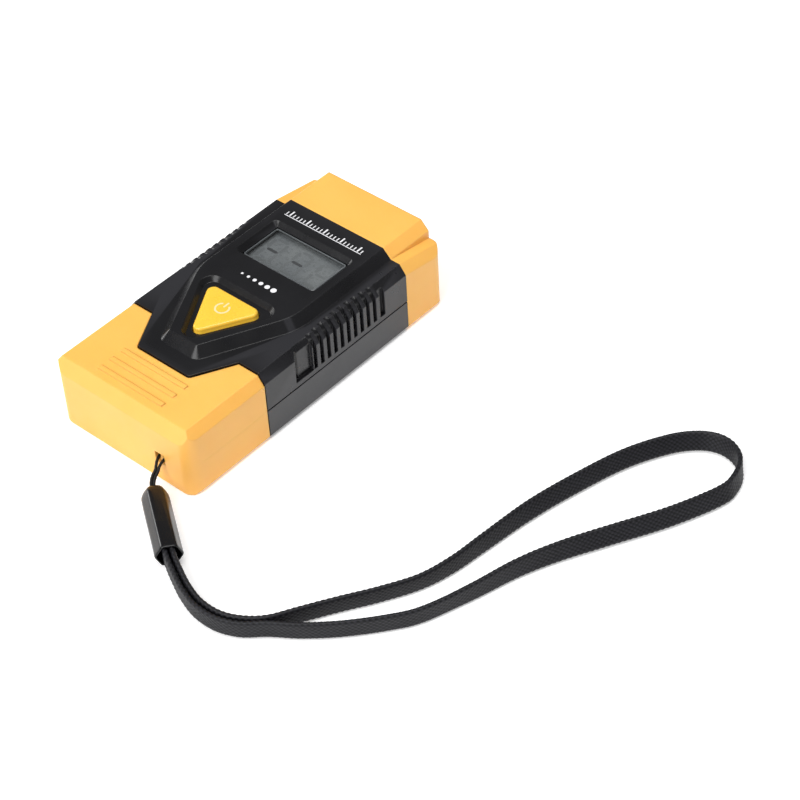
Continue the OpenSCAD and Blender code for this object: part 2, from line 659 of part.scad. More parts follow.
upper_shell();
lower_shell();
pin_cap();
battery_cap();
lcd_lens();
lcd_panel();
lcd_frame();
zebra_strips();
button();
switch_body();
switch_cover();
switch_plunger();
circuit_board();
chip_cover();
board_parts();
pin_holder();
pin_bushings();
electrode_left();
electrode_right();
pin_contact_left();
pin_contact_right();
battery_tray();
cell_lower();
cell_upper();
negative_contact();
positive_contact();
housing_screws();
board_screws();
lanyard_string();
lanyard_crimp();
wrist_strap();
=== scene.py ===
"""Looks of the pocket moisture meter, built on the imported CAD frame. Lengths are written in millimetres."""

import math

import bmesh
import bpy
from mathutils import Matrix, Vector


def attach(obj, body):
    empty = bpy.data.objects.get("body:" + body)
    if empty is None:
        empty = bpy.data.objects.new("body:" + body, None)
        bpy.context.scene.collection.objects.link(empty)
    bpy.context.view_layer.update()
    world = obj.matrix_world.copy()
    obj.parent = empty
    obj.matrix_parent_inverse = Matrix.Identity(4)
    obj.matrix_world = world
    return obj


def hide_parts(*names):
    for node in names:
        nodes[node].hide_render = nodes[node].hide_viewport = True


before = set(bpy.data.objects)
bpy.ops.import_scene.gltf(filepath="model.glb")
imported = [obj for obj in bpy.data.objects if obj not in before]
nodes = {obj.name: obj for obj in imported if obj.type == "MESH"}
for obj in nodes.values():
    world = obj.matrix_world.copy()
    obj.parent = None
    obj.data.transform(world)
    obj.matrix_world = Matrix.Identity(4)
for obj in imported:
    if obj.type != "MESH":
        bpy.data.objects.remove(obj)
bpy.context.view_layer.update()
MM = 0.001


# ---- camera ----

CAMERA_AT = Vector((0.28440, -0.25560, 0.34273))
CAMERA_RIGHT = Vector((0.75275, 0.65682, -0.04410))
CAMERA_AHEAD = Vector((-0.50138, 0.52861, -0.68497))
CAMERA_LENS = 105.12


def make_camera():
    cam = bpy.data.objects.new("camera", bpy.data.cameras.new("camera"))
    bpy.context.scene.collection.objects.link(cam)
    bpy.context.scene.camera = cam
    cam.data.sensor_width = 36
    cam.data.lens = CAMERA_LENS
    cam.data.clip_start, cam.data.clip_end = 0.02, 20
    ahead = CAMERA_AHEAD.normalized()
    up = CAMERA_RIGHT.cross(ahead).normalized()
    right = ahead.cross(up).normalized()
    turn = Matrix((right, up, -ahead)).transposed()
    cam.matrix_world = Matrix.Translation(CAMERA_AT) @ turn.to_4x4()


make_camera()


# ---- small mesh and curve tools ----

def new_object(name, mesh):
    obj = bpy.data.objects.new(name, mesh)
    bpy.context.scene.collection.objects.link(obj)
    return obj


def mesh_object(name, verts, faces, smooth=True):
    """A mesh object from points in millimetres."""
    mesh = bpy.data.meshes.new(name)
    mesh.from_pydata([Vector(v) * MM for v in verts], [], faces)
    mesh.validate()
    bm = bmesh.new()
    bm.from_mesh(mesh)
    bmesh.ops.recalc_face_normals(bm, faces=bm.faces)
    bm.to_mesh(mesh)
    bm.free()
    mesh.polygons.foreach_set("use_smooth", [smooth] * len(mesh.polygons))
    return new_object(name, mesh)


def place(obj, body, slot=None, *stood_for):
    """Rides the piece on a body, in place of the CAD nodes it stands for; slot is not used."""
    if stood_for:
        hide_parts(*stood_for)
    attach(obj, body)
    return obj


def curve(points, u):
    """Point on the smooth curve through the route, u counted in route points."""
    i = min(int(u), len(points) - 2)
    t = u - i
    a, b = points[max(i - 1, 0)], points[i]
    c, d = points[i + 1], points[min(i + 2, len(points) - 1)]
    bend, twist = 2 * a - 5 * b + 4 * c - d, 3 * b - a - 3 * c + d
    return 0.5 * (2 * b + (c - a) * t + bend * t * t + twist * t ** 3)


def even_path(points, step):
    """Points along the smooth curve, an even step apart."""
    fine = [curve(points, k / 40) for k in range((len(points) - 1) * 40 + 1)]
    run = [0.0]
    for p, q in zip(fine, fine[1:]):
        run.append(run[-1] + (q - p).length)
    count = round(run[-1] / step)
    out, j = [], 0
    for k in range(count + 1):
        s = run[-1] * k / count
        while j < len(run) - 2 and run[j + 1] < s:
            j += 1
        f = (s - run[j]) / (run[j + 1] - run[j])
        out.append(fine[j].lerp(fine[j + 1], min(1, max(0, f))))
    return out, run[-1]


def heading(path, k):
    """Direction of the path at its point k."""
    return (path[min(k + 1, len(path) - 1)] - path[max(k - 1, 0)]).normalized()


def tube(name, rings):
    """A closed tube through rings of points in millimetres."""
    n = len(rings[0])
    faces = [[j * n + i, j * n + (i + 1) % n, (j + 1) * n + (i + 1) % n, (j + 1) * n + i]
             for j in range(len(rings) - 1) for i in range(n)]
    faces.append(list(range(n)))
    faces.append([(len(rings) - 1) * n + i for i in range(n)])
    return mesh_object(name, [p for r in rings for p in r], faces)


def yarn_tube(name, rings, heights):
    """A tube whose points carry the height of the yarn, which its material turns into painted shade in the
    low points and painted highlight on the high ones.
    """
    obj = tube(name, rings)
    att = obj.data.attributes.new("yarn", "FLOAT", "POINT")
    att.data.foreach_set("value", heights)
    return obj


# ---- lanyard ----

CASE_END = -40
EYE = Vector((10.9, CASE_END, 6.4))
CRIMP_R, CRIMP_L = 3.1, 19.3
CRIMP_TIP = Vector((13.7, -45.3, CRIMP_R + 0.05))
CRIMP_TURN = math.radians(-34.8)
CRIMP_DIR = Vector((math.cos(CRIMP_TURN), math.sin(CRIMP_TURN), 0))
CRIMP_SIDE = Vector((-math.sin(CRIMP_TURN), math.cos(CRIMP_TURN), 0))
STRING_D = 0.6
STRAND = STRING_D / 2 + 0.05
STRAP_W, STRAP_T, STRAP_SIDE = 4.4, 1.2, 0.75
POST_R = 0.5
POST_INSET = 0.9
TURN_R = POST_R + STRING_D / 2 + 0.05
LOOP_LEAN = 0.4
LEAN_RUN = 30
BRAID_PITCH = 0.75
TWIST = 2.2


def in_crimp(s, side):
    return CRIMP_TIP + s * CRIMP_DIR + side * CRIMP_SIDE


def laid(x, y, z=STRAP_W / 2 + 0.05):
    return Vector((x, y, z))


STRING_MID = [laid(12.8, -44.5, 3.8), laid(12.3, -43.5, 4.6), laid(12.1, -42.4, 5.3), laid(11.7, -41.6, 5.8),
              laid(11.3, -40.6, 6.2)]
STRING_GAP = [1, 1, 1, 1.1, 1.7]
PAIR_MID = [laid(35, -59.2, 2.6), laid(39, -60.9, 2.3), laid(43.5, -62.1), laid(48.5, -62), laid(53, -60.2),
            laid(57, -56.8)]


def string_at(i, side):
    return STRING_MID[i] + side * STRAND * STRING_GAP[i] * Vector((0.95, 0.3, 0))


def pair_at(i, side):
    d = PAIR_MID[min(i + 1, 5)] - PAIR_MID[max(i - 1, 0)]
    return PAIR_MID[i] + side * STRAP_SIDE * Vector((-d.y, d.x, 0)).normalized()


STRING_ROUTE = (
    [in_crimp(s, -STRAND) for s in (6.5, 3, 0)]
    + [string_at(i, -1) for i in range(5)]
    + [Vector((EYE.x + TURN_R * math.cos(math.radians(a)),
               EYE.y + POST_INSET + TURN_R * math.sin(math.radians(a)), EYE.z)) for a in range(180, -1, -30)]
    + [string_at(i, 1) for i in range(4, -1, -1)]
    + [in_crimp(s, STRAND) for s in (0, 3, 6.5)])

STRAP_ROUTE = (
    [in_crimp(s, STRAP_SIDE) for s in (8.5, CRIMP_L)]
    + [pair_at(i, 1) for i in range(6)]
    + [laid(x, y) for x, y in (
        (60, -50.5), (64, -44), (68.5, -37), (72.5, -29.5), (74.5, -22), (75.5, -13.5), (77, -1),
        (79.5, 10.5), (83, 22.5), (87.5, 31.5), (91.5, 36.2), (95.5, 38.3), (99.5, 38), (103, 35.5),
        (104.8, 31), (104.5, 26), (100, 15), (93.5, 3), (88.5, -6.5), (85, -15), (82, -25.5), (78.5, -35.5),
        (75, -41), (69, -48), (63, -53.5))]
    + [pair_at(i, -1) for i in range(5, -1, -1)]
    + [in_crimp(s, -STRAP_SIDE) for s in (CRIMP_L, 8.5)])


def flat_outline(w, t, count):
    """Rounded flat outline with points an even step apart: (across, along the thickness, outward normal)."""
    r = t / 2 * 0.96
    half = w / 2 - r
    round_trip = 4 * half + 2 * math.pi * r
    out = []
    for k in range(count):
        s = round_trip * k / count
        if s < 2 * half:
            out.append((half - s, r, (0, 1)))
            continue
        s -= 2 * half
        if s < math.pi * r:
            a = math.pi / 2 + s / r
            out.append((-half + r * math.cos(a), r * math.sin(a), (math.cos(a), math.sin(a))))
            continue
        s -= math.pi * r
        if s < 2 * half:
            out.append((-half + s, -r, (0, -1)))
            continue
        a = -math.pi / 2 + (s - 2 * half) / r
        out.append((half + r * math.cos(a), r * math.sin(a), (math.cos(a), math.sin(a))))
    return out, round_trip


def braid_height(p, q):
    """Height from 0 to 1 of a plain braid of two crossing sets of yarn."""
    i, j = math.floor(p), math.floor(q)
    x, y = 2 * (p - i) - 1, 2 * (q - j) - 1
    if (i + j) % 2:
        x, y = y, x
    return math.sqrt(max(0, 1 - 0.9 * x * x)) * (1 - 0.45 * y * y)


def braided_strap():
    """The flat strap; it stands on edge and leans over in the far part of its loop."""
    step, around, yarns = 0.2, 52, 10
    relief = 0.2
    path, length = even_path(STRAP_ROUTE, step)
    outline, trip = flat_outline(STRAP_W - 2 * relief, STRAP_T - 2 * relief, around)
    cell = trip / yarns
    rings, heights = [], []
    for k, p in enumerate(path):
        ahead = heading(path, k)
        lean = LOOP_LEAN * min(1, max(0, (p.y + LEAN_RUN) / LEAN_RUN))
        side = ahead.cross(Vector((-lean, lean, 1))).normalized()
        up = side.cross(ahead)
        along = length * k / (len(path) - 1)
        ring = []
        for i, (a, b, (na, nb)) in enumerate(outline):
            w = trip * i / around
            h = braid_height((w + along * BRAID_PITCH) / cell, (w - along * BRAID_PITCH) / cell)
            heights.append(h)
            ring.append(p + up * (a + na * h * relief) + side * (b + nb * h * relief))
        rings.append(ring)
    return yarn_tube("wrist_strap_braid", rings, heights), [q * MM for q in path], length * MM


def twisted_string():
    """The thin string, laid up from three yarns."""
    step, around, relief = 0.14, 14, 0.12
    path, length = even_path(STRING_ROUTE, step)
    rings, heights = [], []
    up = Vector((0, 0, 1))
    for k, p in enumerate(path):
        ahead = heading(path, k)
        side = ahead.cross(up).normalized()
        above = side.cross(ahead)
        along = length * k / (len(path) - 1)
        ring = []
        for i in range(around):
            a = 2 * math.pi * i / around
            h = abs(math.cos(1.5 * (a - TWIST * along)))
            heights.append(h)
            r = STRING_D / 2 * (1.0 + relief * h)
            ring.append(p + r * (math.cos(a) * side + math.sin(a) * above))
        rings.append(ring)
    return yarn_tube("lanyard_string_twist", rings, heights), [q * MM for q in path], length * MM


def crimp_tube():
    """Six-sided tube with rounded edges, a domed tip with a hole for the string, and an open mouth."""
    sides, per = 6, 8
    first = math.radians(24)

    def ring(s, r, soft):
        """soft is 0 for a hexagon with slightly rounded edges and 1 for a circle."""
        out = []
        for k in range(sides * per):
            a = 2 * math.pi * k / (sides * per)
            near = (a % (2 * math.pi / sides)) - math.pi / sides
            flat = math.cos(math.pi / sides) / math.cos(near)
            round_off = 1 - 0.035 * (abs(near) / (math.pi / sides)) ** 10
            rad = r * (soft + (1 - soft) * flat * round_off)
            turn = a + first
            out.append(CRIMP_TIP + s * CRIMP_DIR - math.sin(turn) * rad * CRIMP_SIDE
                       + Vector((0, 0, math.cos(turn) * rad)))
        return out

    rings = [ring(5.5, 0.88, 1), ring(0.35, 0.9, 1), ring(0.06, 1.15, 1)]
    for a in range(15, 91, 10):
        t = math.radians(a)
        rings.append(ring(2.9 - 2.9 * math.cos(t) + 0.02, 0.3 + 2.75 * math.sin(t), max(0, 1 - a / 80)))
    rings += [ring(s, r, 0) for s, r in (
        (4, 3.06), (7, 3.07), (11, 3.06), (15, 3.05), (17.4, 3.07), (18.6, 3.09), (19.05, 3.08),
        (19.25, 2.98), (19.3, 2.8), (19.2, 2.62))]
    rings += [ring(s, r, 0.45) for s, r in ((18.8, 2.5), (16, 2.45), (10, 2.45), (8, 2.4))]
    rings += [ring(7.6, 1.2, 1)]
    return tube("crimp_tube", rings)


strap, strap_path, strap_len = braided_strap()
string, string_path, string_len = twisted_string()
crimp = place(crimp_tube(), "battery_cap", "black_plastic", "lanyard_crimp")
place(strap, "battery_cap", "strap", "wrist_strap")
place(string, "battery_cap", "cord", "lanyard_string")


# ---- materials ----

def material(name):
    m = bpy.data.materials.new(name)
    m.use_nodes = True
    tree = m.node_tree
    return m, tree, tree.nodes["Principled BSDF"]


def add(tree, kind, **values):
    """A shader node, with its inputs or its properties set by name."""
    node = tree.nodes.new("ShaderNode" + kind)
    for key, value in values.items():
        if key in node.inputs:
            node.inputs[key].default_value = value
        else:
            setattr(node, key, value)
    return node


def noise(tree, scale, detail=3.0, rough=0.5):
    """Noise in the object's own coordinates; scale is in cells per millimetre."""
    coord = add(tree, "TexCoord")
    n = add(tree, "TexNoise", Scale=scale / MM, Detail=detail, Roughness=rough)
    tree.links.new(coord.outputs["Object"], n.inputs["Vector"])
    return n


def between(tree, source, low, high, lo=0.3, hi=0.7):
    """Maps a grey output from lo..hi to low..high, as numbers or as colours."""
    if isinstance(low, tuple):
        ramp = add(tree, "ValToRGB")
        ramp.color_ramp.elements[0].position, ramp.color_ramp.elements[1].position = lo, hi
        ramp.color_ramp.elements[0].color = (*low, 1)
        ramp.color_ramp.elements[1].color = (*high, 1)
        tree.links.new(source, ramp.inputs["Fac"])
        return ramp.outputs["Color"]
    m = add(tree, "MapRange", clamp=True)
    for key, value in (("From Min", lo), ("From Max", hi), ("To Min", low), ("To Max", high)):
        m.inputs[key].default_value = value
    tree.links.new(source, m.inputs["Value"])
    return m.outputs["Result"]


def bump(tree, shader, *layers, soft=0.0):
    """Layers are (height output, strength, distance in mm); soft rounds the shading of edges, in mm."""
    last = None
    if soft:
        last = add(tree, "Bevel", Radius=soft * MM)
        last.samples = 6
    for height, strength, distance in layers:
        b = add(tree, "Bump", Strength=strength, Distance=distance * MM)
        tree.links.new(height, b.inputs["Height"])
        if last:
            tree.links.new(last.outputs["Normal"], b.inputs["Normal"])
        last = b
    tree.links.new(last.outputs["Normal"], shader.inputs["Normal"])


def moulded(name, dark, light, rough, grain=3.0, grain_strength=0.1, specular=0.5, glow=0.0, edge_highlight=None,
            soft=0.0):
    """Moulded plastic: fine grain, slow colour drift and smudges, and on request sharp edges lightened as a
    painted highlight.
    """
    m, tree, shader = material(name)
    drift = noise(tree, 0.05, 4)
    colour = between(tree, drift.outputs["Fac"], dark, light)
    # Sharp edges, found by pointiness, are lightened towards the given colour: a painted edge highlight.
    if edge_highlight:
        geometry = add(tree, "NewGeometry")
        edge = between(tree, geometry.outputs["Pointiness"], 0.0, 0.55, 0.52, 0.6)
        mix = add(tree, "Mix", data_type="RGBA")
        mix.inputs["B"].default_value = (*edge_highlight, 1)
        tree.links.new(edge, mix.inputs["Factor"])
        tree.links.new(colour, mix.inputs["A"])
        colour = mix.outputs["Result"]
    tree.links.new(colour, shader.inputs["Base Color"])
    fine = noise(tree, grain, 2)
    smudge = noise(tree, 0.12, 5, 0.6)
    rub = between(tree, smudge.outputs["Fac"], rough[0], rough[1])
    tree.links.new(rub, shader.inputs["Roughness"])
    shader.inputs["Specular IOR Level"].default_value = specular
    if glow:
        shader.inputs["Subsurface Weight"].default_value = glow
        shader.inputs["Subsurface Radius"].default_value = (1.0, 0.45, 0.12)
        shader.inputs["Subsurface Scale"].default_value = 1.2 * MM
    bump(tree, shader, (fine.outputs["Fac"], grain_strength, 0.03), (smudge.outputs["Fac"], 0.05, 0.05),
         soft=soft)
    return m


def metal(name, colour, rough):
    """Metal with fine scratches along one direction."""
    m, tree, shader = material(name)
    shader.inputs["Metallic"].default_value = 1.0
    coord = add(tree, "TexCoord")
    stretch = add(tree, "Mapping")
    stretch.inputs["Scale"].default_value = (0.2, 6.0, 0.2)
    n = add(tree, "TexNoise", Scale=2.0 / MM, Detail=4.0)
    tree.links.new(coord.outputs["Object"], stretch.inputs["Vector"])
    tree.links.new(stretch.outputs["Vector"], n.inputs["Vector"])
    darker = tuple(c * 0.75 for c in colour)
    tree.links.new(between(tree, n.outputs["Fac"], darker, colour), shader.inputs["Base Color"])
    tree.links.new(between(tree, n.outputs["Fac"], rough * 0.7, rough * 1.4), shader.inputs["Roughness"])
    bump(tree, shader, (n.outputs["Fac"], 0.12, 0.01))
    return m


def yarn_material(name, gap, top, rough):
    """Braided yarn: gaps darkened as painted shade and crowns lightened as painted highlight, by the yarn
    height, with fine filaments.
    """
    m, tree, shader = material(name)
    att = add(tree, "Attribute", attribute_name="yarn")
    drift = noise(tree, 0.3, 3)
    fibre = noise(tree, 9.0, 3)
    # Painted shade in the yarn gaps and painted highlight on the crowns, from the yarn height.
    colour = between(tree, att.outputs["Fac"], gap, top, 0.45, 1.0)
    mix = add(tree, "Mix", data_type="RGBA", blend_type="MULTIPLY")
    mix.inputs["Factor"].default_value = 0.5
    tree.links.new(colour, mix.inputs["A"])
    tree.links.new(between(tree, drift.outputs["Fac"], (0.6, 0.6, 0.62), (1, 1, 1)), mix.inputs["B"])
    tree.links.new(mix.outputs["Result"], shader.inputs["Base Color"])
    rub = between(tree, fibre.outputs["Fac"], rough - 0.12, rough + 0.12)
    tree.links.new(rub, shader.inputs["Roughness"])
    shader.inputs["Specular IOR Level"].default_value = 0.3
    bump(tree, shader, (fibre.outputs["Fac"], 0.35, 0.05))
    return m


def clear_material(name):
    """Clear plastic with a faint tint, a gloss coat and a little dust."""
    m, tree, shader = material(name)
    dust = noise(tree, 0.4, 5, 0.7)
    shader.inputs["Base Color"].default_value = (0.02, 0.022, 0.022, 1)
    shader.inputs["Alpha"].default_value = 0.2
    shader.inputs["IOR"].default_value = 1.49
    shader.inputs["Coat Weight"].default_value = 1.0
    shader.inputs["Coat Roughness"].default_value = 0.03
    tree.links.new(between(tree, dust.outputs["Fac"], 0.03, 0.16), shader.inputs["Roughness"])
    return m


def display_material(name):
    """Grey liquid crystal with a faint cell texture and cloudy shading."""
    m, tree, shader = material(name)
    cloud = noise(tree, 0.09, 3)
    cells = noise(tree, 1.1, 2)
    colour = between(tree, cloud.outputs["Fac"], (0.27, 0.295, 0.31), (0.36, 0.385, 0.39), 0.35, 0.65)
    mix = add(tree, "Mix", data_type="RGBA", blend_type="MULTIPLY")
    mix.inputs["Factor"].default_value = 0.35
    tree.links.new(colour, mix.inputs["A"])
    tree.links.new(between(tree, cells.outputs["Fac"], (0.7, 0.72, 0.72), (1, 1, 1)), mix.inputs["B"])
    tree.links.new(mix.outputs["Result"], shader.inputs["Base Color"])
    tree.links.new(between(tree, cells.outputs["Fac"], 0.22, 0.4), shader.inputs["Roughness"])
    bump(tree, shader, (cells.outputs["Fac"], 0.1, 0.02))
    return m


YELLOW = moulded("yellow_plastic", (0.91, 0.455, 0.085), (0.95, 0.50, 0.105), (0.36, 0.50),
                 glow=0.14, soft=0.5)
# A lighter copy of the yellow for the mould's witness ridge: a painted highlight along it.
WITNESS_PAINTED_HIGHLIGHT = moulded("yellow_witness_painted_highlight", (0.94, 0.52, 0.12), (0.97, 0.56, 0.14), (0.40, 0.50), grain_strength=0.05,
                  glow=0.14)
KEY = moulded("key_plastic", (0.94, 0.54, 0.045), (0.98, 0.60, 0.065), (0.22, 0.34), 2.5, 0.05, 0.55, 0.12)
# The edge colours of the black plastics are painted edge highlights, lighter than the plastic itself.
BLACK = moulded("black_plastic", (0.0045, 0.0045, 0.0055), (0.008, 0.008, 0.0095), (0.24, 0.36), 4.0, 0.2,
                specular=0.42, edge_highlight=(0.035, 0.035, 0.04), soft=0.25)
DARK = moulded("dark_plastic", (0.008, 0.008, 0.0095), (0.013, 0.013, 0.015), (0.28, 0.40), 4.0, 0.2,
               edge_highlight=(0.04, 0.04, 0.046))
CRIMP = moulded("crimp_plastic", (0.003, 0.003, 0.004), (0.006, 0.006, 0.007), (0.16, 0.28), 3.0, 0.1, 0.35)
INK = moulded("white_ink", (0.72, 0.72, 0.74), (0.84, 0.84, 0.86), (0.45, 0.6), 6.0, 0.05)
KEY_INK = moulded("key_ink", (0.93, 0.68, 0.36), (0.97, 0.75, 0.45), (0.4, 0.55), 6.0, 0.05)
SEGMENT = moulded("segment_dark", (0.09, 0.095, 0.10), (0.12, 0.125, 0.13), (0.3, 0.45), 4.0, 0.05)
GHOST = moulded("segment_faint", (0.22, 0.24, 0.25), (0.30, 0.32, 0.325), (0.25, 0.4), 4.0, 0.05)
# Light grey on the black shell: a painted highlight for the window's bright edge line; the low roughness is
# the rim's real gloss.
GLOSSY_RIM_HIGHLIGHT = moulded("glossy_rim_painted_highlight", (0.10, 0.11, 0.115), (0.16, 0.17, 0.18), (0.08, 0.16), 6.0, 0.03, 1.0)
WHITE = moulded("white_plastic", (0.68, 0.68, 0.65), (0.78, 0.78, 0.75), (0.4, 0.5))
RED = moulded("red_plastic", (0.50, 0.06, 0.04), (0.62, 0.09, 0.06), (0.35, 0.5))
RUBBER = moulded("zebra_rubber", (0.08, 0.08, 0.09), (0.14, 0.14, 0.15), (0.6, 0.8))
BOARD = moulded("board", (0.012, 0.11, 0.05), (0.02, 0.17, 0.08), (0.25, 0.4))
EPOXY = moulded("epoxy", (0.006, 0.006, 0.006), (0.012, 0.012, 0.012), (0.12, 0.3))
CHIPS = moulded("chips", (0.28, 0.22, 0.14), (0.42, 0.34, 0.22), (0.4, 0.6), 6.0)
BRASS = metal("brass", (0.75, 0.55, 0.22), 0.3)
STEEL = metal("steel", (0.62, 0.62, 0.63), 0.24)
CONTACT = metal("contact_metal", (0.72, 0.62, 0.38), 0.3)
CLEAR = clear_material("clear_window")
DISPLAY = display_material("display_glass")
# Near-black gap colours are painted shade; the lighter crown colours are painted highlight.
STRAP = yarn_material("strap", (0.0006, 0.0006, 0.0009), (0.020, 0.020, 0.026), 0.5)
CORD = yarn_material("cord", (0.002, 0.0015, 0.001), (0.012, 0.010, 0.008), 0.6)

PAINT = {
    "upper_shell": BLACK, "lower_shell": DARK, "pin_cap": YELLOW, "battery_cap": YELLOW, "lcd_lens": CLEAR,
    "lcd_panel": DISPLAY, "lcd_frame": WHITE, "zebra_strips": RUBBER, "button": KEY, "switch_body": EPOXY,
    "switch_cover": STEEL, "switch_plunger": RED, "circuit_board": BOARD, "chip_cover": EPOXY,
    "board_parts": CHIPS, "pin_holder": DARK, "pin_bushings": BRASS, "electrode_left": STEEL,
    "electrode_right": STEEL, "pin_contact_left": CONTACT, "pin_contact_right": CONTACT, "battery_tray": DARK,
    "cell_lower": STEEL, "cell_upper": STEEL, "negative_contact": CONTACT, "positive_contact": CONTACT,
    "housing_screws": STEEL, "board_screws": STEEL}


def paint(obj, mat):
    obj.data.materials.clear()
    obj.data.materials.append(mat)


for node_name, mat in PAINT.items():
    paint(nodes[node_name], mat)
paint(strap, STRAP)
paint(string, CORD)
paint(crimp, CRIMP)


# ---- moulded parts with softened edges ----

SHARP_ANGLE = 18
FLAT_ANGLE = 1
BROAD_FACE = 12 * MM * MM


def softened(node, name, body, slot, mat, rule, segments):
    """A copy of a CAD part whose sharp edges are rounded by rule(middle of the edge), in millimetres."""
    bm = bmesh.new()
    bm.from_mesh(nodes[node].data)
    bmesh.ops.remove_doubles(bm, verts=bm.verts, dist=2e-6)
    bmesh.ops.dissolve_limit(bm, angle_limit=math.radians(0.4), verts=bm.verts, edges=bm.edges)
    bmesh.ops.recalc_face_normals(bm, faces=bm.faces)
    weights = bm.edges.layers.float.new("bevel_weight_edge")
    found = []
    for e in bm.edges:
        if len(e.link_faces) != 2:
            continue
        angle = math.degrees(e.calc_face_angle(0))
        if angle > SHARP_ANGLE:
            middle = (e.verts[0].co + e.verts[1].co) / (2 * MM)
            found.append((e, rule(middle)))
        elif angle > FLAT_ANGLE and max(f.calc_area() for f in e.link_faces) > BROAD_FACE:
            e.smooth = False
    widest = max(w for e, w in found)
    for e, w in found:
        e[weights] = w / widest
    mesh = bpy.data.meshes.new(name)
    bm.to_mesh(mesh)
    bm.free()
    mesh.polygons.foreach_set("use_smooth", [True] * len(mesh.polygons))
    obj = new_object(name, mesh)
    bevel = obj.modifiers.new("soft", "BEVEL")
    bevel.limit_method = "WEIGHT"
    bevel.width = widest * MM
    bevel.segments = segments
    bevel.use_clamp_overlap = True
    bevel.face_strength_mode = "FSTR_ALL"
    normals = obj.modifiers.new("normals", "WEIGHTED_NORMAL")
    normals.weight = 80
    normals.use_face_influence = True
    normals.keep_sharp = True
    paint(obj, mat)
    return place(obj, body, slot, node)


SEAM_BAT, SEAM_PIN = -17, 27.4


def battery_cap_rule(p):
    """Soft corners outside, fine ones at the seam, the bars and the lanyard hole."""
    outside = abs(p.x) > 18.9 or p.z > 16.6 or p.z < 1.2 or p.y < -39.5 or (abs(p.x) > 17.5 and p.z > 16)
    if not outside or p.y > SEAM_BAT - 0.5:
        return 0.1
    if p.z > 17.45:
        return 0.2
    if p.z < 1.2:
        return 0.3
    if p.z > 17 and abs(p.x) < 13 and p.y > -26:
        return 0.15
    if p.z < 9 and abs(p.x) < 14:
        return 0.2
    return 0.9


def pin_cap_rule(p):
    """Soft corners outside, fine ones at the seam and inside."""
    outside = abs(p.x) > 18.9 or p.z > 18.6 or p.z < 1.2 or p.y > 39 or (abs(p.x) > 13 and p.z > 15)
    if not outside or p.y < SEAM_PIN + 0.5:
        return 0.1
    if p.z < 1.2:
        return 0.3
    return 0.7 if p.y < 37 else 0.3


softened("upper_shell", "upper_shell_moulding", "meter", "black_plastic", BLACK, lambda p: 0.14, 2)
softened("lower_shell", "lower_shell_moulding", "meter", "dark_plastic", DARK, lambda p: 0.14, 2)
softened("pin_cap", "pin_cap_moulding", "pin_cap", "yellow_plastic", YELLOW, pin_cap_rule, 4)
softened("battery_cap", "battery_cap_moulding", "battery_cap", "yellow_plastic", YELLOW, battery_cap_rule, 4)
softened("lcd_lens", "clear_window_plate", "meter", "clear_window", CLEAR, lambda p: 0.15, 2)


# ---- button ----

KEY_SIDE, KEY_CORNER, KEY_TOP = 16.5, 1.6, 20.1
KEY_EDGE_Y = -4.1
KEY_MID = Vector((0, KEY_EDGE_Y - KEY_SIDE * math.sqrt(3) / 6, 0))
STEM_R = 2.2


def triangle_ring(grow, z, steps=9):
    """The button's rounded triangle, grown, with evenly counted corner points."""
    far = KEY_SIDE / math.sqrt(3) - 2 * KEY_CORNER
    r = KEY_CORNER + grow
    out = []
    for k in range(3):
        mid = math.radians(30 + 120 * k)
        centre = KEY_MID + far * Vector((math.cos(mid), math.sin(mid), 0))
        for i in range(steps + 1):
            a = mid + math.radians(-60 + 120 * i / steps)
            out.append(centre + Vector((r * math.cos(a), r * math.sin(a), z)))
        for i in (1, 2, 3):
            a, b = mid + math.radians(60), math.radians(30 + 120 * (k + 1) - 60)
            after = mid + math.radians(120)
            p = centre + r * Vector((math.cos(a), math.sin(a), 0))
            q = (KEY_MID + far * Vector((math.cos(after), math.sin(after), 0))
                 + r * Vector((math.cos(b), math.sin(b), 0)))
            f = p.lerp(q, i / 4)
            out.append(Vector((f.x, f.y, z)))
    return out


def toward(ring, share, z):
    """The ring drawn in to its middle, for the crown of the key."""
    return [Vector((KEY_MID.x + (p.x - KEY_MID.x) * share, KEY_MID.y + (p.y - KEY_MID.y) * share, z))
            for p in ring]


def stem_ring(r, z):
    """A circle with the triangle's number of points."""
    out = []
    for p in triangle_ring(0, z):
        d = math.hypot(p.x - KEY_MID.x, p.y - KEY_MID.y)
        out.append(Vector((KEY_MID.x + r * (p.x - KEY_MID.x) / d, KEY_MID.y + r * (p.y - KEY_MID.y) / d, z)))
    return out


def make_button():
    """The key: its stem, the flange under the shell, and a body with a softly rounded, crowned top."""
    rings = [stem_ring(STEM_R, 15.95), stem_ring(STEM_R, 16.4)]
    rings += [triangle_ring(grow, z) for grow, z in (
        (0.95, 16.4), (1.1, 16.5), (1.1, 17.1), (1.0, 17.2), (0, 17.22), (0, 19.5))]
    soft = 0.55
    for a in range(12, 91, 13):
        t = math.radians(a)
        z = KEY_TOP - 0.04 - soft * (1 - math.sin(t))
        rings.append(triangle_ring(-soft * (1 - math.cos(t)) - 0.02, z))
    edge = triangle_ring(-soft - 0.02, KEY_TOP - 0.035)
    rings += [toward(edge, share, KEY_TOP - drop) for share, drop in ((0.85, 0.02), (0.5, 0.005), (0.15, 0))]
    obj = tube("button_key", rings)
    paint(obj, KEY)
    return place(obj, "button", "key_plastic", "button")


make_button()


# ---- print and display ----

PANEL_TOP, INK_T = 20.0, 0.012
WINDOW_W, WINDOW_L, WINDOW_Y = 20.74, 11.04, 13.8


